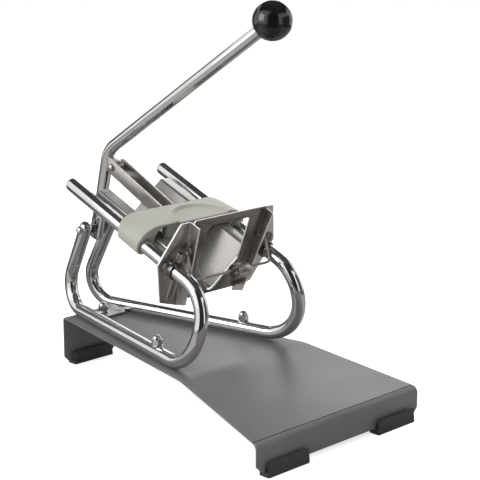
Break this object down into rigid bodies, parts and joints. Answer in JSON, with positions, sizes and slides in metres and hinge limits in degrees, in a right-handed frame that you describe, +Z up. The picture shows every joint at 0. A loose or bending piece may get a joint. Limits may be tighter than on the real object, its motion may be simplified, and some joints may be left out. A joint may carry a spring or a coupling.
{
  "type": "french fry cutter",
  "caption": "Table-top lever press: a lever and push link drive a saddle down two sloping rails, pushing a potato along a V trough through a blade frame.",
  "frame": {"origin": "on the table under the rear edge of the base plate, on the plane of symmetry, in the rear foot's lower face", "axes": "+X forward, the way the potato travels; +Z up; Y across, with Y = 0 the plane of symmetry"},
  "size_m": [0.4476, 0.252, 0.4627],
  "materials": {
    "chrome": "polished",
    "dark_chrome": "polished, darker",
    "stainless": "satin",
    "graphite_paint": "fine textured",
    "black_rubber": "matt",
    "white_nylon": "satin",
    "black_gloss": "gloss"
  },
  "bodies": {
    "root": {"base_plate": "graphite_paint", "foot_rear": "black_rubber", "foot_front_left": "black_rubber", "foot_front_right": "black_rubber", "frame_bar_left": "chrome", "frame_bar_right": "chrome", "rear_cross_plate": "dark_chrome", "rear_bolt": "chrome", "rear_cap_nut": "chrome", "frame_bolt_left": "chrome", "frame_bolt_right": "chrome", "frame_cap_nut_left": "chrome", "frame_cap_nut_right": "chrome", "pivot_bolt": "chrome", "pivot_cap_nut": "chrome", "pivot_spacer_left": "dark_chrome", "pivot_spacer_right": "dark_chrome", "trough": "stainless", "blade_frame": "stainless", "side_bracket_left": "stainless", "side_bracket_right": "stainless", "clamp_collar_left": "dark_chrome", "clamp_collar_right": "dark_chrome", "clamp_screw_left": "dark_chrome", "clamp_screw_right": "dark_chrome", "bail_spring_left": "dark_chrome", "bail_spring_right": "dark_chrome"},
    "lever": {"lever_bar": "chrome", "lever_knob": "black_gloss", "link_lug": "stainless"},
    "link": {"push_link": "stainless", "link_pin": "dark_chrome", "link_pin_nut": "dark_chrome", "carriage_pin": "stainless"},
    "carriage": {"carriage": "white_nylon", "pusher": "white_nylon"},
    "bail": {"bail_wire": "stainless", "bail_strip": "stainless"}
  },
  "joints": [
    {"name": "lever_swing", "type": "hinge", "parent": "root", "child": "lever", "pos_m": [0.02, 0, 0.172], "axis": [0, 1, 0], "range_deg": [-45, 25]},
    {"name": "link_swing", "type": "hinge", "parent": "lever", "child": "link", "pos_m": [0.06003, 0, 0.25202], "axis": [0, 1, 0], "range_deg": [-24, 43]},
    {"name": "carriage_slide", "type": "slide", "parent": "root", "child": "carriage", "axis": [0.9309, 0, -0.3654], "range_m": [-0.066, 0.037]},
    {"name": "bail_swing", "type": "hinge", "parent": "root", "child": "bail", "pos_m": [0.24501, 0, 0.19231], "axis": [0, -1, 0], "range_deg": [0, 100]}
  ],
  "couplings": [
    {"joint": "link_swing", "follows": "lever_swing", "ratio": -0.94},
    {"joint": "carriage_slide", "follows": "lever_swing", "m_per_rad": 0.0831}
  ]
}
